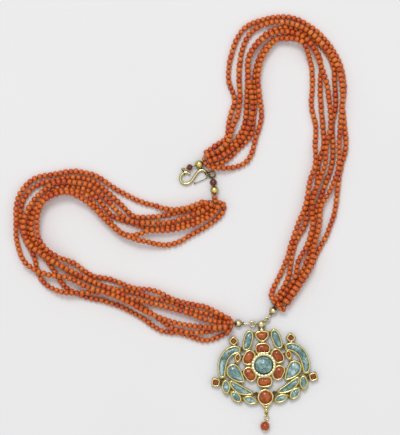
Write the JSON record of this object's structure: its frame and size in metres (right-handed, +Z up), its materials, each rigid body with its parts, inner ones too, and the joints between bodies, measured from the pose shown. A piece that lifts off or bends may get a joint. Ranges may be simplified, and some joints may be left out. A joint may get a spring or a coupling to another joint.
{
  "type": "multi-strand bead necklace",
  "caption": "Bundles of coral bead strings joined by a hook clasp and a pierced gold pendant set with blue and red stones, lying flat.",
  "frame": {"origin": "on the table under the middle of the lying necklace", "axes": "+Z up from the table, +Y from the pendant towards the top of the right bundle's loop, +X to the viewer's right"},
  "size_m": [0.194, 0.2416, 0.0106],
  "materials": {
    "coral": "polished",
    "gold": "polished",
    "aqua": "polished",
    "carnelian": "polished",
    "garnet": "polished",
    "amber": "polished",
    "silk": "matt"
  },
  "bodies": {
    "root": {"strand_right_1": "coral", "strand_right_2": "coral", "strand_right_3": "coral", "strand_right_4": "coral", "strand_right_5": "coral", "strand_right_6": "coral", "strand_left_1": "coral", "strand_left_2": "coral", "strand_left_3": "coral", "strand_left_4": "coral", "strand_left_5": "coral", "strand_left_6": "coral", "threads_right_back": "silk", "threads_right_front": "silk", "threads_left_back": "silk", "threads_left_front": "silk", "clasp_bead_right": "gold", "clasp_bead_left": "gold", "gather_bead_right": "gold", "gather_bead_left": "gold", "s_hook": "gold", "eye_ring": "gold", "eye_thread": "silk", "eye_garnet": "garnet", "eye_gold_beads": "gold", "clasp_ring": "gold", "clasp_pin": "gold", "garnet_bead": "garnet", "amber_bead": "amber", "link_right_inner": "gold", "link_right_outer": "gold", "link_left_inner": "gold", "link_left_outer": "gold", "pendant_setting": "gold", "centre_stone": "aqua", "petal_stone_1": "carnelian", "petal_stone_2": "carnelian", "petal_stone_3": "carnelian", "petal_stone_4": "carnelian", "petal_stone_5": "carnelian", "petal_stone_6": "carnelian", "crown_stone": "carnelian", "drop_stone": "carnelian", "top_leaf_stone_right": "aqua", "top_leaf_stone_left": "aqua", "neck_stone_right": "aqua", "neck_stone_left": "aqua", "body_stone_right": "aqua", "body_stone_left": "aqua", "wing_stone_right": "aqua", "wing_stone_left": "aqua", "beak_stone_right": "carnelian", "beak_stone_left": "carnelian", "leaf_stones_right": "aqua", "leaf_stones_left": "aqua", "corner_stones": "garnet", "drop_ring": "gold", "drop_pin": "gold", "drop_bead": "coral"}
  },
  "joints": []
}
